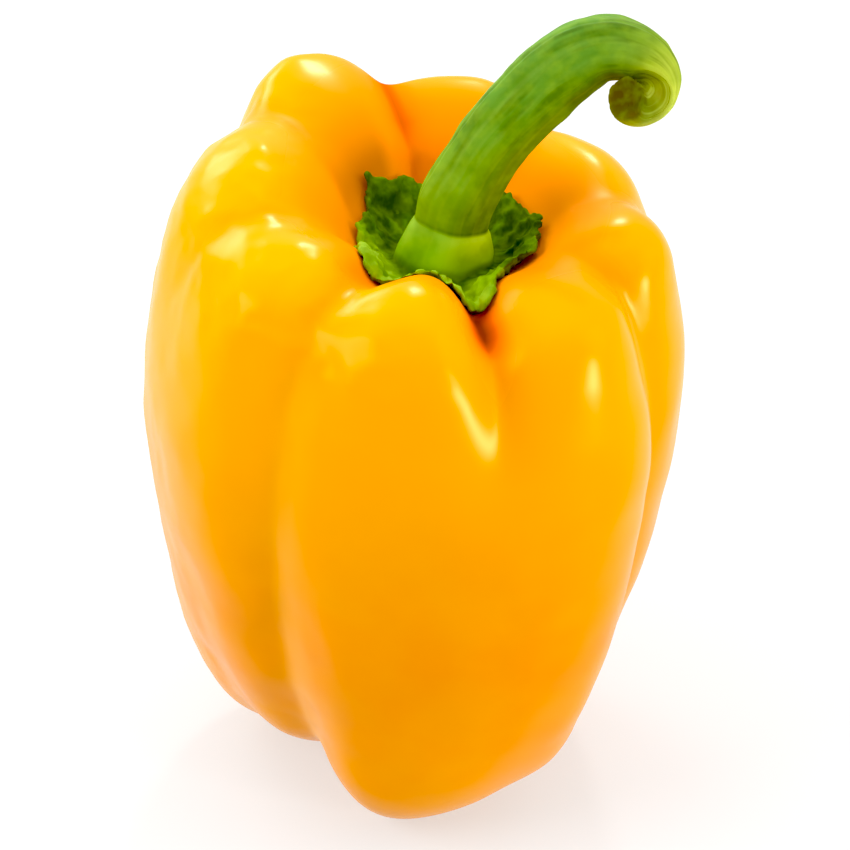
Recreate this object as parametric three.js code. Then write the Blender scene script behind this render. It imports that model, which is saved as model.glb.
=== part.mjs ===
import * as THREE from "three";

// A yellow bell pepper, standing on the feet of its lobes, with its green stalk.
// Millimetres, +Z up, front of the pepper towards -Y. The origin is the middle of its footprint on the
// surface that it stands on. A bearing is an angle about the upright axis, in degrees, anticlockwise seen
// from above, with 0 at the front.

// Driving dimensions of the fruit
const FLOOR = 91.5; // height of the hollow at the top, where the calyx sits
const BELLY_HEIGHT = 72; // height of the widest part
const WAIST_HEIGHT = 24; // height where the sides turn in towards the feet
const NAVEL = 9; // height of the blossom end between the feet
const LEAN = [4, 0]; // sideways shift of the hollow from the middle of the feet, along X and Y
const FOOT_FLAT = { depth: 0.3, width: 4 }; // how deep and how wide a foot is pressed flat by the surface

// The creases, in order of bearing at the shoulder, each with the degrees that it turns by on its way down,
// its depth in the hollow, over the shoulder, on the side and at the foot, and how softly it is rounded.
const CREASES = [
  { bearing: -32, sweep: -11, hollow: 4, shoulder: 3.2, side: 3, foot: 5.5, soft: 0.3 },
  { bearing: 9, sweep: 16, hollow: 6.5, shoulder: 7.4, side: 0.6, foot: 0.4, soft: 0.12 },
  { bearing: 59, sweep: 0, hollow: 0.5, shoulder: 6, side: 5, foot: 5, soft: 0.12 },
  { bearing: 98, sweep: 0, hollow: 0.5, shoulder: 3, side: 1, foot: 1, soft: 0.25 },
  { bearing: 150, sweep: 0, hollow: 1, shoulder: 3.7, side: 2.8, foot: 5, soft: 0.25 },
  { bearing: 199, sweep: 0, hollow: 3, shoulder: 5, side: 2, foot: 2, soft: 0.15 },
  { bearing: 240, sweep: 0, hollow: 0.5, shoulder: 4, side: 3, foot: 5, soft: 0.25 },
  { bearing: 286, sweep: 0, hollow: 1.5, shoulder: 2, side: 0.5, foot: 0.5, soft: 0.3 },
];

// The lobes, each after the crease of the same place in the list: the height and radius of its crest, its
// radius at the belly, the waist and the foot, and how far that foot stays above the surface.
const LOBES = [
  { crest: 102.5, crown: 27, belly: 44, waist: 38, foot: 25, lift: 0 },
  { crest: 99.5, crown: 27, belly: 43.5, waist: 36.5, foot: 18, lift: 1 },
  { crest: 101, crown: 27, belly: 38, waist: 31, foot: 16.5, lift: 3 },
  { crest: 101.7, crown: 25.6, belly: 36, waist: 31, foot: 18, lift: 0 },
  { crest: 106, crown: 29, belly: 40, waist: 32, foot: 18, lift: 1 },
  { crest: 110.5, crown: 37.2, belly: 45.5, waist: 35, foot: 20, lift: 0 },
  { crest: 108.2, crown: 29.3, belly: 46.6, waist: 41, foot: 23, lift: 0 },
  { crest: 104, crown: 28, belly: 46.3, waist: 36.5, foot: 18.5, lift: 5.2 },
];

// The grid of the skin: lines from top to end in each lobe, and rings between the points of an outline.
const MERIDIANS_PER_LOBE = 9;
const RINGS_PER_STEP = [2, 2, 3, 4, 4, 4, 3, 3, 3, 4, 3, 2, 4, 3];

const { degToRad, radToDeg, lerp, smoothstep, euclideanModulo } = THREE.MathUtils;

// A value of the lobes, eased from the middle of one lobe to the middle of the next. The place is the lobe's
// number, and the share of the way across it from its own crease to the next.
function ofLobes(key, { index, share }) {
  const count = LOBES.length;
  const step = share < 0.5 ? -1 : 0;
  const from = LOBES[(index + step + count) % count][key];
  const to = LOBES[(index + step + 1) % count][key];
  const along = share + (share < 0.5 ? 0.5 : -0.5);
  return lerp(from, to, (1 - Math.cos(Math.PI * along)) / 2);
}

// A value of the creases, eased from one crease to the next.
function ofCreases(key, { index, share }) {
  const next = CREASES[(index + 1) % CREASES.length];
  return lerp(CREASES[index][key], next[key], smoothstep(share, 0, 1));
}

// How much of a crease's depth is felt at a share of the way across a lobe: 1 in the crease, 0 on the lobe's
// back, which is round.
function valley(share, soft) {
  const sinkAt = (away) => {
    const open = 1 - Math.hypot(away, soft) / Math.hypot(1, soft);
    return 1 - Math.sqrt(1 - open ** 2);
  };
  return sinkAt(1 - Math.abs(2 * share - 1)) / sinkAt(0);
}

// The fruit's outline from the hollow over the crest to the blossom end, as a curve of radius, height and
// crease depth.
function meridian(place) {
  const [crest, crown, belly, waist, foot, lift] = ["crest", "crown", "belly", "waist", "foot", "lift"].map(
    (key) => ofLobes(key, place),
  );
  const [hollow, shoulder, side, toe] = ["hollow", "shoulder", "side", "foot"].map((key) =>
    ofCreases(key, place),
  );
  const wall = crest - FLOOR;
  const points = [
    [0, FLOOR, 0],
    [8.5, FLOOR + 0.4, 0.1 * hollow],
    [14.5, FLOOR + 2.5 + 0.15 * wall, 0.6 * hollow],
    [19, FLOOR + 3.6 + 0.45 * wall, hollow],
    [crown, crest, lerp(hollow, shoulder, 0.6)],
    [lerp(crown, belly, 0.5), crest - 3, shoulder],
    [lerp(crown, belly, 0.8), crest - 12, lerp(shoulder, side, 0.4)],
    [belly, BELLY_HEIGHT, side],
    [lerp(belly, waist, 0.3), lerp(BELLY_HEIGHT, WAIST_HEIGHT, 0.52), side],
    [waist, WAIST_HEIGHT, lerp(side, toe, 0.4)],
    [lerp(foot, waist, 0.62), 7 + lift, toe],
    [foot - 0.5, lift - FOOT_FLAT.depth, toe],
    [foot - 0.5 - FOOT_FLAT.width, lift - FOOT_FLAT.depth, toe],
    [0.4 * foot, lerp(lift, NAVEL, 0.65), 0.6 * toe],
    [0, NAVEL, 0],
  ].map(([r, z, depth]) => new THREE.Vector3(r, z, depth));
  return new THREE.CatmullRomCurve3(points, false, "centripetal");
}

// A point of the fruit's skin in its meridian's plane, as radius and height, at a way along from the hollow.
function skinIn(curve, place, way) {
  const { x: radius, y: height, z: depth } = curve.getPoint(way);
  const tangent = curve.getTangent(way);
  const normal = new THREE.Vector2(-tangent.y, tangent.x).normalize();
  const sunk = depth * valley(place.share, ofCreases("soft", place));
  return { radius: Math.max(radius - normal.x * sunk, 0), height: Math.max(height - normal.y * sunk, 0) };
}

// The upright axis leans, so what stands higher is shifted further.
function place(bearing, radius, height) {
  const angle = degToRad(bearing);
  const lean = height / FLOOR;
  return new THREE.Vector3(
    radius * Math.sin(angle) + lean * LEAN[0],
    -radius * Math.cos(angle) + lean * LEAN[1],
    height,
  );
}

// The places of the grid's lines: the same number in each lobe, closer together near its creases.
const PLACES = CREASES.flatMap((crease, index) =>
  Array.from({ length: MERIDIANS_PER_LOBE }, (_, line) => {
    const share = line / MERIDIANS_PER_LOBE;
    return { index, share: lerp(share, (1 - Math.cos(Math.PI * share)) / 2, 0.6) };
  }),
);

// The bearing of a place, a way down from the hollow.
function bearingOf({ index, share }, way) {
  const from = CREASES[index];
  const to = CREASES[(index + 1) % CREASES.length];
  const turn = index + 1 < CREASES.length ? 0 : 360;
  const swept = way ** 2;
  return lerp(from.bearing + from.sweep * swept, to.bearing + turn + to.sweep * swept, share);
}

// The place of a bearing, a way down from the hollow.
function placeAt(bearing, way) {
  const starts = CREASES.map((crease) => crease.bearing + crease.sweep * way ** 2);
  const turned = starts[0] + euclideanModulo(bearing - starts[0], 360);
  const index = starts.findLastIndex((start) => start <= turned);
  const end = starts[index + 1] ?? starts[0] + 360;
  return { index, share: (turned - starts[index]) / (end - starts[index]) };
}

// A closed skin on a sphere's grid, from a row of rings. Each ring gives the point of a line by its number, and
// the first and last ring are a single point.
function closedSkin(name, rings, material) {
  const around = PLACES.length;
  const skin = new THREE.SphereGeometry(1, around, rings.length - 1);
  const { position } = skin.attributes;
  rings.forEach((pointOf, ring) => {
    for (let line = 0; line <= around; line++) {
      const { x, y, z } = pointOf(line % around);
      position.setXYZ(ring * (around + 1) + line, x, y, z);
    }
  });
  skin.deleteAttribute("normal");
  skin.deleteAttribute("uv");
  const mesh = new THREE.Mesh(skin, new THREE.MeshStandardMaterial(material));
  mesh.name = name;
  return mesh;
}

const MERIDIANS = PLACES.map(meridian);

const FRUIT_WAYS = RINGS_PER_STEP.flatMap((rings, step) =>
  Array.from({ length: rings }, (_, ring) => (step + ring / rings) / RINGS_PER_STEP.length),
);

const fruit = closedSkin(
  "fruit",
  [...FRUIT_WAYS, 1].map((way) => (line) => {
    const { radius, height } = skinIn(MERIDIANS[line], PLACES[line], way);
    return place(bearingOf(PLACES[line], way), radius, height);
  }),
  { color: 0xffa800, roughness: 0.25, metalness: 0 },
);

// Driving dimensions of the stalk: the middle line of the stem from the cuff to the cut end, with its half
// widths in the plane of the hook, to the outer and the inner side, and across that plane.
const STEM = [
  { at: [4.8, -2, 98.8], outer: 5.9, inner: 5.1, across: 5.2 },
  { at: [5.5, -1.5, 102.2], outer: 6.2, inner: 5.5, across: 5.6 },
  { at: [8, -0.5, 106.8], outer: 5.8, inner: 5.2, across: 5.4 },
  { at: [10.8, 0.5, 111.4], outer: 5.8, inner: 5.2, across: 5.3 },
  { at: [14.9, 1.5, 116], outer: 6.1, inner: 5.2, across: 5.4 },
  { at: [19.2, 2.3, 120.3], outer: 6.4, inner: 5.2, across: 5.4 },
  { at: [23.1, 2.8, 123.3], outer: 6.3, inner: 4.8, across: 5.3 },
  { at: [26.5, 3, 125.1], outer: 5.7, inner: 4.3, across: 5.1 },
  { at: [29.9, 2.8, 124.9], outer: 5.2, inner: 4, across: 4.9 },
  { at: [32.5, 1.9, 123.5], outer: 5, inner: 3.4, across: 4.5 },
  { at: [33.7, 0.6, 122.2], outer: 4.6, inner: 2.7, across: 4.2 },
  { at: [33.8, -1.2, 120.9], outer: 4.1, inner: 2.5, across: 4.1 },
  { at: [32.7, -3.3, 120.4], outer: 3.8, inner: 2.5, across: 3.9 },
  { at: [31, -5, 121], outer: 3.6, inner: 2.6, across: 3.8 },
  { at: [29.7, -6.2, 122.4], outer: 3.2, inner: 2.7, across: 3.6 },
];
const RIBS = 5; // ribs along the stem, also the sides of the cuff
const RIB_DEPTH = 0.035; // share of the half width
const STEM_RINGS = 30;
const CUT_END = [
  // from the middle of the cut end to its rim: share of the half width, and depth sunk in
  { size: 0, sunk: 0.9 },
  { size: 0.5, sunk: 0.7 },
  { size: 0.82, sunk: 0 },
];

const CUFF = { radius: 7.5, corner: 0.05, aside: [-0.9, -2.8] }; // at its foot, from the middle of the hollow
const CUFF_RINGS = [
  // share of the way from the ring under the stem to the foot, and how far it bulges
  { down: 0.02, bulge: 0.7 },
  { down: 0.12, bulge: 1 },
  { down: 0.45, bulge: 0.7 },
  { down: 0.8, bulge: 0.3 },
  { down: 1, bulge: 0 },
];
const CLEARANCE = 0.4; // between the calyx and the fruit
const CALYX_RINGS = [
  // share of the way from the cuff to the rim, and height over the fruit's skin
  { out: 0.25, over: 1.3 },
  { out: 0.5, over: 1.4 },
  { out: 0.72, over: 1.8 },
  { out: 0.9, over: 2.2 },
  { out: 1, over: 1.6 },
];
const CUFF_FOOT_OVER = 1.6; // height of the cuff's foot over the fruit's skin
const RIM = 13.5; // radius of the calyx between its teeth
const TEETH = [
  // bearing, radius of the tip, half width in degrees and how far the tip stands off the fruit
  { bearing: 12, reach: 23.6, wide: 26, off: 0.4 },
  { bearing: 64, reach: 15, wide: 16, off: 0.3 },
  { bearing: 100, reach: 14.5, wide: 14, off: 0.3 },
  { bearing: 140, reach: 14.4, wide: 14, off: 0.3 },
  { bearing: 185, reach: 16.4, wide: 12, off: 1.2 },
  { bearing: 207, reach: 15.2, wide: 26, off: 0.3 },
  { bearing: 233, reach: 16.7, wide: 18, off: 0.2 },
  { bearing: 276, reach: 14.8, wide: 20, off: 0.3 },
  { bearing: 324, reach: 20.9, wide: 48, off: 0 },
];
const UNDERSIDE = [0.97, 0.8, 0.65, 0.5, 0.25, 0]; // shares of the rim's radius

const STEM_LINE = new THREE.CatmullRomCurve3(STEM.map(({ at }) => new THREE.Vector3(...at)));
const STEM_WIDTH = new THREE.CatmullRomCurve3(
  STEM.map(({ outer, inner, across }) => new THREE.Vector3(outer, inner, across)),
);

// A point of the stem's skin, a way along from the cuff to the cut end.
function stemPoint(line, way, size = 1, sunk = 0) {
  const angle = degToRad(bearingOf(PLACES[line], 0));
  const along = STEM_LINE.getTangent(way);
  const across = new THREE.Vector3(0, 1, 0).projectOnPlane(along).normalize();
  const inward = new THREE.Vector3().crossVectors(across, along);
  const { x: outer, y: inner, z: wide } = STEM_WIDTH.getPoint(way);
  const rib = size * (1 + RIB_DEPTH * Math.cos(RIBS * angle));
  const half = Math.sin(angle) > 0 ? inner : outer;
  return STEM_LINE.getPoint(way)
    .addScaledVector(inward, half * rib * Math.sin(angle))
    .addScaledVector(across, -wide * rib * Math.cos(angle))
    .addScaledVector(along, -sunk);
}

// The height of the fruit's skin in the hollow, under a radius at a bearing.
function skinHeight(bearing, radius) {
  const skinAt = (way) => {
    const under = placeAt(bearing, way);
    return skinIn(meridian(under), under, way);
  };
  let [near, far] = [0, 0.4];
  for (let step = 0; step < 20; step++) {
    const middle = (near + far) / 2;
    if (skinAt(middle).radius < radius) near = middle;
    else far = middle;
  }
  return skinAt(far).height;
}

// The foot of the cuff and the rim of the calyx on a line, as X and Y from the middle of the hollow.
function cuffFoot(line) {
  const angle = degToRad(bearingOf(PLACES[line], 0));
  const radius = CUFF.radius * (1 + CUFF.corner * Math.cos(RIBS * angle));
  const [x, y] = CUFF.aside;
  return new THREE.Vector2(radius * Math.sin(angle) + x, -radius * Math.cos(angle) + y);
}

function calyxRim(line) {
  const bearing = bearingOf(PLACES[line], 0);
  let [reach, off] = [RIM, 0];
  for (const tooth of TEETH) {
    const turn = Math.abs(euclideanModulo(bearing - tooth.bearing + 180, 360) - 180);
    const share = Math.max(0, 1 - turn / tooth.wide) ** 1.5;
    reach += (tooth.reach - RIM) * share;
    off += tooth.off * share;
  }
  const angle = degToRad(bearing);
  return { reach, off, at: new THREE.Vector2(reach * Math.sin(angle), -reach * Math.cos(angle)) };
}

// A point over the hollow, from X and Y from its middle and its height over the fruit's skin.
function overHollow({ x, y }, over) {
  const radius = Math.hypot(x, y);
  const bearing = radToDeg(Math.atan2(x, -y));
  return place(bearing, radius, skinHeight(bearing, radius) + over);
}

function stemRings() {
  const steps = Array.from({ length: STEM_RINGS + 1 }, (_, ring) => 1 - ring / STEM_RINGS);
  return [
    ...CUT_END.map(({ size, sunk }) => (line) => stemPoint(line, 1, size, sunk)),
    ...steps.map((way) => (line) => stemPoint(line, way)),
  ];
}

function cuffRings() {
  return CUFF_RINGS.map(({ down, bulge }) => (line) => {
    const foot = overHollow(cuffFoot(line), CUFF_FOOT_OVER);
    const point = stemPoint(line, 0).lerp(foot, down);
    const angle = degToRad(bearingOf(PLACES[line], 0));
    return point.add(new THREE.Vector3(bulge * Math.sin(angle), -bulge * Math.cos(angle), 0));
  });
}

function calyxRings() {
  const top = CALYX_RINGS.map(({ out, over }) => (line) => {
    const rim = calyxRim(line);
    const at = cuffFoot(line).lerp(rim.at, out);
    return overHollow(at, over + rim.off * out ** 3);
  });
  const under = UNDERSIDE.map((share) => (line) => {
    const rim = calyxRim(line);
    return overHollow(rim.at.multiplyScalar(share), CLEARANCE + rim.off * share ** 3);
  });
  return [...top, ...under];
}

const stalk = closedSkin("stalk", [...stemRings(), ...cuffRings(), ...calyxRings()], {
  color: 0x5a9a1e,
  roughness: 0.5,
  metalness: 0,
});

// The origin is the middle of the pepper's outline seen from above, on the surface that it stands on.
const pepper = new THREE.Group();
pepper.add(fruit, stalk);
const extent = new THREE.Box3().setFromObject(pepper);
const middle = extent.getCenter(new THREE.Vector3());
for (const mesh of pepper.children) mesh.geometry.translate(-middle.x, -middle.y, -extent.min.z);

export default pepper;
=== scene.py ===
import math

import bpy
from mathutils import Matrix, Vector, noise


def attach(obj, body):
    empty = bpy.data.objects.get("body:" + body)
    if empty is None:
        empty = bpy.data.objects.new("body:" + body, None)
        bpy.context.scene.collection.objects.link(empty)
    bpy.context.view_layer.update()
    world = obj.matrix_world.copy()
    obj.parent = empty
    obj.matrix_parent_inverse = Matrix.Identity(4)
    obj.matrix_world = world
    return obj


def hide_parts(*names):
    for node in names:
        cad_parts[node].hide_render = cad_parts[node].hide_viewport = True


# A yellow bell pepper on a white table: the lobed fruit with its glossy skin, and its green stalk with a
# ribbed stem, a cuff and a crinkled calyx. Metres, +Z up, front towards -Y. An angle round the fruit or the
# stem is 0 at the front and runs anticlockwise seen from above.

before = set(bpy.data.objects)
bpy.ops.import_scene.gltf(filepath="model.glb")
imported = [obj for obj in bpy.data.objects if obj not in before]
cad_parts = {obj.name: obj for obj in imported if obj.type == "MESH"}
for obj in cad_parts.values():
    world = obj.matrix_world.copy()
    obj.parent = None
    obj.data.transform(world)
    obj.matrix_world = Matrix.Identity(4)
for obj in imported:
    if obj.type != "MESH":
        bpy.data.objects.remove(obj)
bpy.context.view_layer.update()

MM = 0.001
MERGE = 0.005 * MM
FINER = 2  # times that a skin's faces are split in four
FIRST_CREASE = math.radians(-32)  # angle of line 0 on both skins
LINES_PER_LOBE = 9

# Rings of the fruit's skin, counted from the middle of the hollow
HOLLOW_RING = 7
CREST_RING = 11
BELLY_RING = 22
FOOT_RING = 35

# Rings of the stalk's skin, counted from the middle of the cut end
CUT_RIM = 3
STEM_FOOT = 33
CUFF_FOOT = 38
CALYX_RIM = 43
LAST_RING = 49


# Working on a piece by hand


def only(piece):
    bpy.ops.object.select_all(action="DESELECT")
    piece.select_set(True)
    bpy.context.view_layer.objects.active = piece


def finer_copy(node, name):
    """A copy of a solid of the frame, its loose triangles joined, as a new piece."""
    piece = bpy.data.objects.new(name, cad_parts[node].data.copy())
    bpy.context.collection.objects.link(piece)
    piece.data.materials.clear()
    only(piece)
    bpy.ops.object.mode_set(mode="EDIT")
    bpy.ops.mesh.select_all(action="SELECT")
    bpy.ops.mesh.remove_doubles(threshold=MERGE)
    bpy.ops.object.mode_set(mode="OBJECT")
    return piece


def mark(piece, vertices):
    """Selects just these vertices, ready for edit mode."""
    mesh = piece.data
    wanted = set(vertices)
    mesh.polygons.foreach_set("select", [False] * len(mesh.polygons))
    mesh.edges.foreach_set("select", [False] * len(mesh.edges))
    mesh.vertices.foreach_set("select", [v.index in wanted for v in mesh.vertices])


def sink(piece, vertices, by):
    """Pushes vertices in along their normals."""
    only(piece)
    mark(piece, vertices)
    bpy.ops.object.mode_set(mode="EDIT")
    bpy.ops.mesh.select_mode(type="VERT")
    bpy.ops.transform.shrink_fatten(value=-by)
    bpy.ops.object.mode_set(mode="OBJECT")


def apply_all(piece):
    only(piece)
    for modifier in list(piece.modifiers):
        bpy.ops.object.modifier_apply(modifier=modifier.name)


def smooth(piece):
    modifier = piece.modifiers.new("smooth", "SUBSURF")
    modifier.levels = FINER
    modifier.render_levels = FINER
    apply_all(piece)
    bpy.ops.object.shade_smooth()


def ruffle(piece, name, size, strength, where):
    """Soft unevenness of a size in the skin, outward and inward, where a vertex group says."""
    clouds = bpy.data.textures.new(name, "CLOUDS")
    clouds.noise_scale = size
    clouds.noise_depth = 1
    modifier = piece.modifiers.new(name, "DISPLACE")
    modifier.texture = clouds
    modifier.texture_coords = "LOCAL"
    modifier.mid_level = 0.5
    modifier.strength = strength
    modifier.vertex_group = where


def paint(piece, name, values):
    """A number of the maker's own on each vertex, for the materials."""
    layer = piece.data.attributes.new(name, "FLOAT", "POINT")
    layer.data.foreach_set("value", values)


def weigh(piece, name, values):
    """A vertex group from a share for each vertex."""
    group = piece.vertex_groups.new(name=name)
    for index, share in enumerate(values):
        if share > 0:
            group.add([index], min(share, 1.0), "REPLACE")


def ease(value, low, high):
    """0 below low and 1 above high, smoothly."""
    share = max(0.0, min(1.0, (value - low) / (high - low)))
    return share * share * (3 - 2 * share)


# The rings and lines of a skin


def rings_of(piece):
    """The rings of a skin from its upper pole to its lower one, each a list with one vertex for each line."""
    mesh = piece.data
    near = [set() for _ in mesh.vertices]
    for edge in mesh.edges:
        a, b = edge.vertices
        near[a].add(b)
        near[b].add(a)
    crowd = max(len(n) for n in near)
    poles = [v for v, n in enumerate(near) if len(n) == crowd]
    first = max(poles, key=lambda v: mesh.vertices[v].co.z)
    follows = {}
    for face in mesh.polygons:
        corners = list(face.vertices)
        if first in corners:
            turn = corners.index(first)
            follows[corners[(turn + 1) % 3]] = corners[(turn + 2) % 3]
    ring = [min(follows)]
    while len(ring) < crowd:
        ring.append(follows[ring[-1]])
    rings = [[first], ring]
    seen = {first, *ring}
    while len(seen) < len(mesh.vertices):
        fresh = [near[v] - seen for v in ring]
        if len(set().union(*fresh)) < crowd:
            rings.append(list(fresh[0]))
            break
        ring = [(fresh[k] - fresh[(k + 1) % crowd]).pop() for k in range(crowd)]
        seen |= set(ring)
        rings.append(ring)
    return rings


def clear_diagonals(piece, rings):
    """Leaves a clean grid: an edge that changes both ring and line is dissolved."""
    at = {v: (r, k) for r, ring in enumerate(rings) for k, v in enumerate(ring)}
    only(piece)
    mesh = piece.data
    slanting = []
    for edge in mesh.edges:
        (r0, k0), (r1, k1) = at[edge.vertices[0]], at[edge.vertices[1]]
        inner = len(rings[r0]) > 1 and len(rings[r1]) > 1
        slanting.append(inner and r0 != r1 and k0 != k1)
    bpy.ops.object.mode_set(mode="EDIT")
    bpy.ops.mesh.select_mode(type="EDGE")
    bpy.ops.mesh.select_all(action="DESELECT")
    bpy.ops.object.mode_set(mode="OBJECT")
    mesh.edges.foreach_set("select", slanting)
    bpy.ops.object.mode_set(mode="EDIT")
    bpy.ops.mesh.dissolve_edges(use_verts=False)
    bpy.ops.object.mode_set(mode="OBJECT")


def angle_round(middle, point):
    return math.atan2(point.x - middle.x, middle.y - point.y)


def apart(a, b):
    """The angle between two directions, from 0 to half a turn."""
    return abs((a - b + math.pi) % (2 * math.pi) - math.pi)


def skin_grid(piece, even_ring):
    """The rings, started at the first crease, and the angle of each line, read on one even ring."""
    rings = rings_of(piece)
    clear_diagonals(piece, rings)
    spots = piece.data.vertices
    pole = rings[0] if even_ring < len(rings) // 2 else rings[-1]
    middle = spots[pole[0]].co
    angles = [angle_round(middle, spots[v].co) for v in rings[even_ring]]
    start = min(range(len(angles)), key=lambda k: apart(angles[k], FIRST_CREASE))
    turned = [ring[start:] + ring[:start] if len(ring) > 1 else ring for ring in rings]
    return turned, angles[start:] + angles[:start]


# The fruit: its skin made round between the lines of the solid, with dents, most on its left shoulder.
# Each list goes round the creases in order of bearing, from the first one on.

# The first two lists give painted shade in each crease: red on its shoulder, and brown deep in its notch.
CREASE_SHADE_RED = [0.3, 1.0, 0.5, 0.4, 0.6, 1.0, 0.5, 0.4]
CREASE_DEEP_SHADE = [0, 1.2, 0.1, 0, 0.1, 0.5, 0.0, 0]  # most under the calyx's long tooth
# The next list gives a painted reflection in each crease: a pale streak down it.
CREASE_REFLECTION = [1.0, 0.0, 0.8, 0.4, 0.1, 0.0, 0.6, 0.2]
PALE_PAST = [0.4, 0, 0, 0, 0, 0, 0, 0]  # lines from the crease to its pale streak
PALE_WIDE = [0.9, 0.5, 0.5, 0.8, 0.8, 0.6, 0.6, 0.8]  # half the width of the streak, in lines
PALE_STARTS = [17, 11, 11, 11, 11, 11, 11, 11]  # ring where the streak begins
SHADE_RED_WIDE = 1.4  # half the width of the red in a crease, in lines
# Behind the stem the painted shade in the hollow is reddest.
BACK_WALL = math.radians(178)  # the redder wall behind the stem
DENTED_SIDE = math.radians(-75)
DENTED_LEAST = 0.12  # share of the small dents that is left on the far side
SCAR_DEPTH = 0.8 * MM
SCAR_RINGS = 3


def nearest_crease(line_number):
    """The crease nearest to a line of the grid, and how many lines the line is past it."""
    lobe, line = divmod(line_number, LINES_PER_LOBE)
    past = line if line * 2 < LINES_PER_LOBE else line - LINES_PER_LOBE
    return (lobe if past >= 0 else (lobe + 1) % len(CREASE_SHADE_RED)), past


def shade_redness(r, angle, crease, past):
    """Painted shade, red in the hollow (most behind the stem) and in the creases on the shoulder. Past 1 it
    is brown.
    """
    behind = 1 - ease(apart(angle, BACK_WALL), 0.2, 0.8)
    in_hollow = (1 - ease(r, HOLLOW_RING + behind, CREST_RING + 2 * behind)) * (0.67 + 0.2 * behind)
    in_crease = math.exp(-((past / SHADE_RED_WIDE) ** 2))
    on_shoulder = CREASE_SHADE_RED[crease] * in_crease * (1 - ease(r, CREST_RING, BELLY_RING))
    in_notch = ease(r, HOLLOW_RING - 1, HOLLOW_RING + 1) * (1 - ease(r, CREST_RING, CREST_RING + 4))
    return max(in_hollow, on_shoulder) + CREASE_DEEP_SHADE[crease] * in_crease * in_notch


def reflection_streak(r, crease, past):
    """A painted reflection: a pale streak down along a crease."""
    streak = math.exp(-(((past - PALE_PAST[crease]) / PALE_WIDE[crease]) ** 2))
    starts = PALE_STARTS[crease]
    return CREASE_REFLECTION[crease] * streak * ease(r, starts, starts + 3)


def unevenness(r):
    """Soft dents from the crest down, none near the feet."""
    return ease(r, HOLLOW_RING, CREST_RING) * (1 - ease(r, FOOT_RING - 6, FOOT_RING - 1))


def dentedness(r, angle):
    """Small dents, most on one side and above the belly."""
    side = 1 - ease(apart(angle, DENTED_SIDE), 0.7, 1.5)
    most_above = 1 - 0.6 * ease(r, CREST_RING + 5, BELLY_RING)
    return unevenness(r) * (DENTED_LEAST + (1 - DENTED_LEAST) * side) * most_above


def make_fruit():
    fruit = finer_copy("fruit", "pepper_fruit")
    rings, angles = skin_grid(fruit, even_ring=1)
    count = len(fruit.data.vertices)
    values = {name: [0.0] * count for name in ("painted_shade_red", "painted_reflection", "scar", "uneven", "dented")}
    for r, ring in enumerate(rings):
        for k, v in enumerate(ring):
            angle = angles[k] if len(ring) > 1 else 0
            crease, past = nearest_crease(k)
            values["painted_shade_red"][v] = shade_redness(r, angle, crease, past)
            values["painted_reflection"][v] = reflection_streak(r, crease, past)
            values["scar"][v] = ease(r, len(rings) - SCAR_RINGS, len(rings) - 1)
            values["uneven"][v] = unevenness(r)
            values["dented"][v] = dentedness(r, angle)
    for name in ("painted_shade_red", "painted_reflection", "scar"):
        paint(fruit, name, values[name])
    for name in ("uneven", "dented"):
        weigh(fruit, name, values[name])
    sink(fruit, rings[-1], SCAR_DEPTH)
    smooth(fruit)
    ruffle(fruit, "soft_dents", size=14 * MM, strength=0.9 * MM, where="uneven")
    ruffle(fruit, "small_dents", size=5.5 * MM, strength=0.9 * MM, where="dented")
    apply_all(fruit)
    return fruit


# The stalk: grooves along the stem, a crease under it, and a crinkled calyx

GROOVES = [3, 9, 14, 21, 26, 32, 39, 44, 50, 57, 62, 68]  # lines along the stem
GROOVE_DEPTH = 0.16 * MM
SUNK_RINGS = [  # rings round the stem's foot and the cuff, and how deep they are sunk together
    ((STEM_FOOT,), 0.12 * MM),
    ((STEM_FOOT + 1, STEM_FOOT + 2), 0.7 * MM),
    ((STEM_FOOT + 3,), 0.4 * MM),
    ((CUFF_FOOT,), 0.5 * MM),
]
ALONG_UNIT = 10 * MM  # what the measure along the stalk counts in
CALYX_STEP = 0.2  # what each ring of the calyx adds to that measure
FLAT_PETAL = math.radians(-36)  # the broad petal whose rim lies flat
PETAL_DROP = 0.7  # how far that rim is lowered, in millimetres
FOLD_RISE = 1.8  # how far a fold of the rim stands up, in millimetres
CRINKLE_RISE = 0.9  # the same of a small crinkle
TOOTH_LENGTH = 1.1  # the same of a ragged tooth, outwards
GUTTER = {CUFF_FOOT + 1: 0.7, CUFF_FOOT + 2: 0.3}  # depth at each ring next to the cuff, in millimetres
UNDERSIDE_DROP = 0.3 * MM


def lengths_along(mesh, rings):
    """How far each ring is from the cut end, along the middle of the stalk."""
    middles = [sum((mesh.vertices[v].co for v in ring), Vector()) / len(ring) for ring in rings]
    run = [0.0]
    for before, after in zip(middles, middles[1:]):
        run.append(run[-1] + (after - before).length)
    return run


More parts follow.
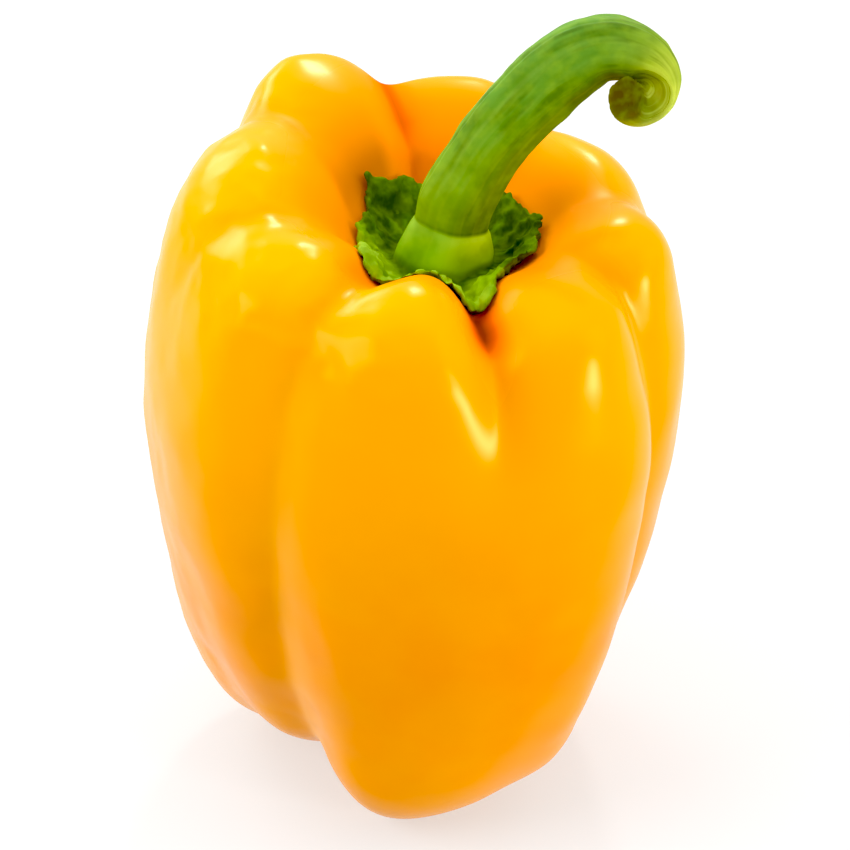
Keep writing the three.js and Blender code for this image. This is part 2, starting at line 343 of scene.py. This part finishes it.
def crinkle_calyx(mesh, rings, angles, values):
    """Stands the ragged rim up in folds, except on the flat petal, with a gutter between rim and cuff."""
    for r in range(CUFF_FOOT + 1, CALYX_RIM + 2):
        out = ease(r, CUFF_FOOT, CALYX_RIM)
        for k, v in enumerate(rings[r]):
            cosine, sine = values["turn_cos"][v], values["turn_sin"][v]
            fold = noise.noise(Vector((2.6 * cosine, 2.6 * sine, 0.4)))
            crinkle = noise.noise(Vector((7 * cosine, 7 * sine, 3.1 + 0.35 * r)))
            standing = 1 - ease(math.cos(angles[k] - FLAT_PETAL), 0.1, 0.6)
            near_cuff = ease(r, CUFF_FOOT, CUFF_FOOT + 2)
            rise = FOLD_RISE * max(fold, -0.1) * out * standing + CRINKLE_RISE * crinkle * near_cuff
            if r <= CALYX_RIM:
                rise -= PETAL_DROP * (1 - standing) * ease(r, CUFF_FOOT + 2, CALYX_RIM)
            spot = mesh.vertices[v].co
            spot.z += (rise - GUTTER.get(r, 0) * (0.3 + 0.7 * standing)) * MM
            # The crinkle is kept for the colours, which paint light where it stands up.
            values["height"][v] = crinkle
            if r >= CALYX_RIM:
                tooth = noise.noise(Vector((9 * cosine, 9 * sine, 7.7)))
                spot.x += TOOTH_LENGTH * tooth * sine * MM
                spot.y -= TOOTH_LENGTH * tooth * cosine * MM
    for ring in rings[CALYX_RIM + 1 : LAST_RING]:
        for v in ring:
            mesh.vertices[v].co.z -= UNDERSIDE_DROP


def make_stalk():
    stalk = finer_copy("stalk", "pepper_stalk")
    rings, angles = skin_grid(stalk, even_ring=LAST_RING - 1)
    sink(stalk, [rings[r][k] for r in range(CUT_RIM, STEM_FOOT) for k in GROOVES], GROOVE_DEPTH)
    for together, depth in SUNK_RINGS:
        sink(stalk, [v for r in together for v in rings[r]], depth)

    mesh = stalk.data
    run = lengths_along(mesh, rings)
    names = ("ring", "height", "along", "turn_cos", "turn_sin")
    values = {name: [0.0] * len(mesh.vertices) for name in names}
    for r, ring in enumerate(rings):
        on_calyx = max(r - CUFF_FOOT, 0)
        for k, v in enumerate(ring):
            values["ring"][v] = r
            values["along"][v] = run[min(r, CUFF_FOOT)] / ALONG_UNIT + on_calyx * CALYX_STEP
            if len(ring) > 1:
                values["turn_cos"][v] = math.cos(angles[k])
                values["turn_sin"][v] = math.sin(angles[k])
    crinkle_calyx(mesh, rings, angles, values)
    for name in names:
        paint(stalk, name, values[name])
    ring_of = values["ring"]
    from_cuff = [ease(r, CUFF_FOOT, CUFF_FOOT + 2) for r in ring_of]
    past_rim = [ease(r, CALYX_RIM, LAST_RING) for r in ring_of]
    weigh(stalk, "calyx", [on * (1 - off) for on, off in zip(from_cuff, past_rim)])
    weigh(stalk, "stem", [1 - ease(r, STEM_FOOT, CUFF_FOOT) for r in ring_of])
    smooth(stalk)
    ruffle(stalk, "calyx_crinkle", size=1.8 * MM, strength=1.8 * MM, where="calyx")
    ruffle(stalk, "calyx_grain", size=0.8 * MM, strength=0.6 * MM, where="calyx")
    ruffle(stalk, "stem_uneven", size=4 * MM, strength=0.4 * MM, where="stem")
    apply_all(stalk)
    return stalk


# Materials


def blank(name):
    material = bpy.data.materials.new(name)
    material.use_nodes = True
    return material, material.node_tree.nodes, material.node_tree.links


def value_of(nodes, name):
    node = nodes.new("ShaderNodeAttribute")
    node.attribute_name = name
    return node.outputs["Fac"]


def fill(links, socket, value):
    """Sets a socket to a number or a colour, or links it to another node's output."""
    if isinstance(value, (int, float, tuple)):
        socket.default_value = value
    else:
        links.new(value, socket)


def blend(nodes, links, share, first, second):
    """Mixes two colours by a share. Each can be the output of another node."""
    mix = nodes.new("ShaderNodeMix")
    mix.data_type = "RGBA"
    for socket, value in ((mix.inputs[0], share), (mix.inputs[6], first), (mix.inputs[7], second)):
        fill(links, socket, value)
    return mix.outputs[2]


def ramp(nodes, links, value, stops):
    node = nodes.new("ShaderNodeValToRGB")
    links.new(value, node.inputs[0])
    elements = node.color_ramp.elements
    while len(elements) < len(stops):
        elements.new(1.0)
    for element, (at, colour) in zip(elements, stops):
        element.position = at
        element.color = colour if isinstance(colour, tuple) else (colour, colour, colour, 1)
    return node.outputs[0]


def sums(nodes, links, operation, *terms):
    node = nodes.new("ShaderNodeMath")
    node.operation = operation
    for socket, value in zip(node.inputs, terms):
        fill(links, socket, value)
    return node.outputs[0]


def product(nodes, links, first, second):
    return sums(nodes, links, "MULTIPLY", first, second)


def cloud(nodes, links, vector, scale, detail=2.0):
    node = nodes.new("ShaderNodeTexNoise")
    node.inputs["Scale"].default_value = scale
    node.inputs["Detail"].default_value = detail
    links.new(vector, node.inputs["Vector"])
    return node.outputs["Fac"]


FRUIT_HEIGHT = 0.11
# Over the skin's own orange, darkest at the belly and lighter towards the bottom and the top: painted shade
# at the belly, painted light at the top and the bottom.
SKIN_LIGHT_AND_SHADE_BY_HEIGHT = [  # shares of the fruit's height
    (0.0, (0.86, 0.30, 0, 1)),
    (0.35, (0.81, 0.245, 0, 1)),
    (0.7, (0.86, 0.32, 0, 1)),
    (1.0, (0.88, 0.365, 0, 1)),
]
RIPE_YELLOW = (0.86, 0.34, 0, 1)
# Colours of painted shade: orange-red in the hollow and creases, brown deep in a crease's notch.
SHADE_ORANGE = (0.88, 0.145, 0, 1)
NOTCH_SHADE_BROWN = (0.28, 0.03, 0, 1)
# The colour of the painted reflection down the creases.
REFLECTION_CREAM = (0.9, 0.40, 0.05, 1)
SCAR_BROWN = (0.30, 0.16, 0.05, 1)
WAX_TINT = (1, 0.85, 0.35, 1)


def skin_of_fruit():
    material, nodes, links = blank("waxy_orange_skin")
    shader = nodes["Principled BSDF"]
    place = nodes.new("ShaderNodeTexCoord").outputs["Object"]
    split = nodes.new("ShaderNodeSeparateXYZ")
    links.new(place, split.inputs[0])
    height = sums(nodes, links, "DIVIDE", split.outputs["Z"], FRUIT_HEIGHT)
    # The skin's colour by height, with its painted shade and painted light.
    colour = ramp(nodes, links, height, SKIN_LIGHT_AND_SHADE_BY_HEIGHT)
    mottle = ramp(nodes, links, cloud(nodes, links, place, 90), [(0.35, 0.0), (0.65, 1.0)])
    colour = blend(nodes, links, product(nodes, links, mottle, 0.3), colour, RIPE_YELLOW)
    # Painted shade: orange-red in the hollow and creases, and brown where the mask passes 1, deep in a notch.
    painted_shade_red = product(nodes, links, value_of(nodes, "painted_shade_red"), 0.75)
    colour = blend(nodes, links, painted_shade_red, colour, SHADE_ORANGE)
    deep_shade = sums(nodes, links, "SUBTRACT", value_of(nodes, "painted_shade_red"), 1.0)
    colour = blend(nodes, links, deep_shade, colour, NOTCH_SHADE_BROWN)
    # Painted reflection: a pale streak down some creases.
    painted_reflection = product(nodes, links, value_of(nodes, "painted_reflection"), 0.55)
    colour = blend(nodes, links, painted_reflection, colour, REFLECTION_CREAM)
    scar = ramp(nodes, links, value_of(nodes, "scar"), [(0.3, 0.0), (0.6, 1.0)])
    colour = blend(nodes, links, scar, colour, SCAR_BROWN)
    links.new(colour, shader.inputs["Base Color"])
    # The mask of painted shade also makes the hollow and creases rougher.
    gloss = ramp(nodes, links, value_of(nodes, "painted_shade_red"), [(0.2, 0.27), (0.8, 0.7)])
    links.new(gloss, shader.inputs["Roughness"])
    shader.inputs["IOR"].default_value = 1.45
    shader.inputs["Specular IOR Level"].default_value = 0.38
    shader.inputs["Specular Tint"].default_value = WAX_TINT
    return material


# Colours and shares along the stalk, each at a ring of its skin. The dark stops at the stem's foot and the
# cuff's foot are painted shade, in the crease under the stem and in the gutter round the cuff.
OUTER_STEM = [
    (0, (0.07, 0.04, 0.012)),
    (2.5, (0.11, 0.08, 0.012)),
    (4, (0.27, 0.32, 0.035)),
    (8, (0.50, 0.56, 0.06)),
    (12, (0.34, 0.43, 0.05)),
    (15, (0.17, 0.29, 0.045)),
    (18, (0.11, 0.26, 0.045)),
    (25, (0.12, 0.28, 0.04)),
    (31, (0.175, 0.33, 0.035)),
    (32.6, (0.16, 0.29, 0.03)),
    (33, (0.09, 0.18, 0.02)),
    (33.5, (0.19, 0.37, 0.045)),
    (37, (0.19, 0.37, 0.035)),
    (38, (0.03, 0.07, 0.002)),
    (39, (0.10, 0.20, 0.005)),
]
# Along the stem the inner side is darker than the outer one, as painted shade, and darkest inside the hook's
# curl.
INNER_STEM = [  # the side that the hook curls towards
    (0, (0.07, 0.04, 0.012)),
    (3, (0.06, 0.05, 0.008)),
    (7, (0.22, 0.23, 0.025)),
    (13, (0.18, 0.22, 0.02)),
    (20, (0.12, 0.20, 0.025)),
    (30, (0.11, 0.165, 0.02)),
    (32.6, (0.09, 0.135, 0.006)),
    (33, (0.06, 0.10, 0.004)),
    (33.5, (0.40, 0.54, 0.05)),
    (37, (0.50, 0.66, 0.06)),
    (38, (0.03, 0.07, 0.002)),
    (39, (0.08, 0.16, 0.005)),
]
# The calyx in shade and in light, by ring: painted shade behind and beside the stem, darkest in the gutter by
# the cuff, and painted light on the front petals.
SHADED_PETALS = [
    (38.5, (0.018, 0.045, 0.003)),
    (40, (0.05, 0.10, 0.012)),
    (43, (0.13, 0.25, 0.03)),
    (44, (0.12, 0.20, 0.01)),
]
LIT_PETALS = [
    (38.3, (0.05, 0.11, 0.003)),
    (39.5, (0.33, 0.50, 0.05)),
    (43, (0.30, 0.50, 0.05)),
    (44, (0.12, 0.20, 0.01)),
]
BLOTCHED = [(8, 0.0), (13, 0.75), (28, 0.4), (32, 0.0)]
# Where the fine pale lines lie: painted light along the hook's ribs.
LINED = [(3, 0.0), (5, 0.45), (11, 0.3), (15, 0.06)]
LEAF_FROM = [(38, 0.0), (38.6, 1.0)]
STALK_ROUGHNESS = [(30, 0.6), (38, 0.85)]

BLOTCH_GREEN = (0.045, 0.105, 0.02, 1)
# The colour of the painted light along the hook's ribs.
RIB_LIGHT_GREEN = (0.46, 0.54, 0.09, 1)
LIT_FOLD_GREEN = (0.15, 0.30, 0.01, 1)
CRINKLE_GREEN = (0.04, 0.08, 0.006, 1)
PATCH_GREEN = (0.07, 0.15, 0.015, 1)
FLECK_GREEN = (0.30, 0.45, 0.04, 1)


def by_ring(nodes, links, ring, stops):
    """A ramp along the stalk, each stop at a ring of its skin, to a colour or a share."""
    scaled = [(at / LAST_RING, (*to, 1) if isinstance(to, tuple) else to) for at, to in stops]
    return ramp(nodes, links, ring, scaled)


def stem_grain(nodes, links, stretch):
    """Where a spot is on the stem's skin: round it and along it, drawn out along it."""
    join = nodes.new("ShaderNodeCombineXYZ")
    links.new(value_of(nodes, "turn_cos"), join.inputs[0])
    links.new(value_of(nodes, "turn_sin"), join.inputs[1])
    links.new(product(nodes, links, value_of(nodes, "along"), stretch), join.inputs[2])
    return join.outputs[0]


def stem_colour(nodes, links, ring):
    """Darker on its inner side, as painted shade, with long dark blotches outside and fine pale lines round
    its hook, painted light along its ribs.
    """
    side = sums(nodes, links, "MULTIPLY_ADD", value_of(nodes, "turn_sin"), 0.5, 0.5)
    outer = by_ring(nodes, links, ring, OUTER_STEM)
    inner = by_ring(nodes, links, ring, INNER_STEM)
    colour = blend(nodes, links, ramp(nodes, links, side, [(0.3, 0.0), (0.8, 1.0)]), outer, inner)

    long_grain = cloud(nodes, links, stem_grain(nodes, links, 0.33), 2.8)
    blotch = ramp(nodes, links, long_grain, [(0.5, 0.0), (0.62, 1.0)])
    on_stem = by_ring(nodes, links, ring, BLOTCHED)
    on_side = ramp(nodes, links, side, [(0.45, 1.0), (0.8, 0.3)])
    blotch = product(nodes, links, product(nodes, links, blotch, on_stem), on_side)
    colour = blend(nodes, links, blotch, colour, BLOTCH_GREEN)

    # Painted light: fine pale lines along the ribs of the hook.
    fine_grain = cloud(nodes, links, stem_grain(nodes, links, 0.05), 4.5, 1.0)
    line = ramp(nodes, links, fine_grain, [(0.5, 0.0), (0.62, 1.0)])
    on_hook = by_ring(nodes, links, ring, LINED)
    return blend(nodes, links, product(nodes, links, line, on_hook), colour, RIB_LIGHT_GREEN)


def calyx_colour(nodes, links, ring, place):
    """Bright on its two front petals, as painted light, dark behind and beside the stem, as painted shade,
    with crinkles all over.
    """
    shaded_leaf = by_ring(nodes, links, ring, SHADED_PETALS)
    lit_leaf = by_ring(nodes, links, ring, LIT_PETALS)
    sine, cosine = value_of(nodes, "turn_sin"), value_of(nodes, "turn_cos")
    aside = sums(nodes, links, "MULTIPLY_ADD", sine, -0.58, cosine)
    in_front = ramp(nodes, links, aside, [(0.35, 0.0), (0.7, 1.0)])
    leaf = blend(nodes, links, in_front, shaded_leaf, lit_leaf)
    # Painted light: lighter where the crinkles stand up.
    fold = ramp(nodes, links, value_of(nodes, "height"), [(0.05, 0.0), (0.3, 0.6)])
    leaf = blend(nodes, links, fold, leaf, LIT_FOLD_GREEN)
    crinkle = ramp(nodes, links, cloud(nodes, links, place, 420, 3.0), [(0.4, 0.0), (0.6, 0.7)])
    less_in_front = ramp(nodes, links, in_front, [(0.0, 1.0), (1.0, 0.5)])
    return blend(nodes, links, product(nodes, links, crinkle, less_in_front), leaf, CRINKLE_GREEN)


def green_of_stalk():
    material, nodes, links = blank("green_stalk")
    shader = nodes["Principled BSDF"]
    ring = sums(nodes, links, "DIVIDE", value_of(nodes, "ring"), LAST_RING)
    place = nodes.new("ShaderNodeTexCoord").outputs["Object"]
    stem = stem_colour(nodes, links, ring)
    leaf = calyx_colour(nodes, links, ring, place)
    colour = blend(nodes, links, by_ring(nodes, links, ring, LEAF_FROM), stem, leaf)
    patch = ramp(nodes, links, cloud(nodes, links, place, 230, 3.0), [(0.45, 0.0), (0.65, 0.28)])
    colour = blend(nodes, links, patch, colour, PATCH_GREEN)
    fleck = ramp(nodes, links, cloud(nodes, links, place, 500), [(0.4, 0.0), (0.7, 0.25)])
    colour = blend(nodes, links, fleck, colour, FLECK_GREEN)
    links.new(colour, shader.inputs["Base Color"])
    links.new(by_ring(nodes, links, ring, STALK_ROUGHNESS), shader.inputs["Roughness"])
    shader.inputs["Specular IOR Level"].default_value = 0.12
    return material


# The table, the light and the camera

TABLE_SIZE = 6
TABLE_GREY = (0.32, 0.32, 0.32, 1)
TABLE_GLOW = 0.55
BLACK_LEVEL = (0.018, 0.018, 0.045)
ROOM_BRIGHTNESS = 1.9
AIM = Vector((0, 0, 0.06))  # the middle of the pepper, which the lights face

LENS = 139.76  # millimetres, on a sensor 36 millimetres wide
CAMERA_PLACE = (0.00195, -0.42411, 0.35826)
CAMERA_TILT = math.radians(55)  # 35 degrees down from level


def make_table():
    bpy.ops.mesh.primitive_plane_add(size=TABLE_SIZE, location=(0, 0, 0))
    table = bpy.context.object
    table.name = "white_table"
    card, nodes, _ = blank("white_card")
    shader = nodes["Principled BSDF"]
    shader.inputs["Base Color"].default_value = TABLE_GREY
    shader.inputs["Roughness"].default_value = 0.9
    shader.inputs["Specular IOR Level"].default_value = 0.0
    shader.inputs["Emission Color"].default_value = (1, 1, 1, 1)
    shader.inputs["Emission Strength"].default_value = TABLE_GLOW
    table.data.materials.append(card)
    return table


def set_view(scene):
    view = scene.view_settings
    view.view_transform = "Standard"
    view.look = "None"
    view.use_curve_mapping = True
    view.curve_mapping.black_level = BLACK_LEVEL
    view.curve_mapping.update()


def set_room(scene):
    """A white room, dimmer low down and dimmer towards the front."""
    world = bpy.data.worlds.new("white_room")
    world.use_nodes = True
    scene.world = world
    nodes, links = world.node_tree.nodes, world.node_tree.links
    toward = nodes.new("ShaderNodeSeparateXYZ")
    links.new(nodes.new("ShaderNodeTexCoord").outputs["Generated"], toward.inputs[0])
    rising = ramp(nodes, links, toward.outputs["Z"], [(0.0, 0.3), (1.0, 1.0)])
    ahead = product(nodes, links, toward.outputs["Y"], -1.0)
    dimmer = ramp(nodes, links, ahead, [(0.0, 1.0), (0.8, 0.1)])
    background = nodes["Background"]
    links.new(product(nodes, links, rising, dimmer), background.inputs["Color"])
    background.inputs["Strength"].default_value = ROOM_BRIGHTNESS


def soft_light(scene, name, bearing, rise, far, size, power):
    """A flat oval light of a size in metres, at a bearing and a rise in degrees, facing the pepper."""
    turn, up = math.radians(bearing), math.radians(rise)
    away = Vector((math.sin(turn) * math.cos(up), -math.cos(turn) * math.cos(up), math.sin(up)))
    lamp = bpy.data.lights.new(name, "AREA")
    lamp.shape = "ELLIPSE"
    lamp.size, lamp.size_y = size
    lamp.energy = power
    light = bpy.data.objects.new(name, lamp)
    light.location = AIM + far * away
    light.rotation_euler = away.to_track_quat("Z", "Y").to_euler()
    scene.collection.objects.link(light)


def set_camera(scene):
    lens = bpy.data.cameras.new("camera")
    lens.sensor_width = 36
    lens.lens = LENS
    lens.clip_start = 0.01
    lens.clip_end = 20
    camera = bpy.data.objects.new("camera", lens)
    camera.location = CAMERA_PLACE
    camera.rotation_euler = (CAMERA_TILT, 0, 0)
    scene.collection.objects.link(camera)
    scene.camera = camera


fruit = make_fruit()
stalk = make_stalk()
fruit.data.materials.append(skin_of_fruit())
stalk.data.materials.append(green_of_stalk())
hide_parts("fruit")
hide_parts("stalk")
for piece in (fruit, stalk):
    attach(piece, "root")
make_table()

scene = bpy.context.scene
set_view(scene)
set_room(scene)
soft_light(scene, "light_above", bearing=172, rise=43, far=0.9, size=(0.12, 0.12), power=1.9)
soft_light(scene, "light_back", bearing=-142, rise=28, far=0.9, size=(0.45, 0.4), power=2.2)
soft_light(scene, "light_right", bearing=56, rise=7, far=0.8, size=(0.11, 0.22), power=3.1)
soft_light(scene, "light_wide_right", bearing=78, rise=30, far=0.9, size=(0.6, 0.6), power=1.1)
soft_light(scene, "light_wide_left", bearing=-72, rise=30, far=0.9, size=(0.6, 0.6), power=5.0)
set_camera(scene)

bpy.context.view_layer.update()
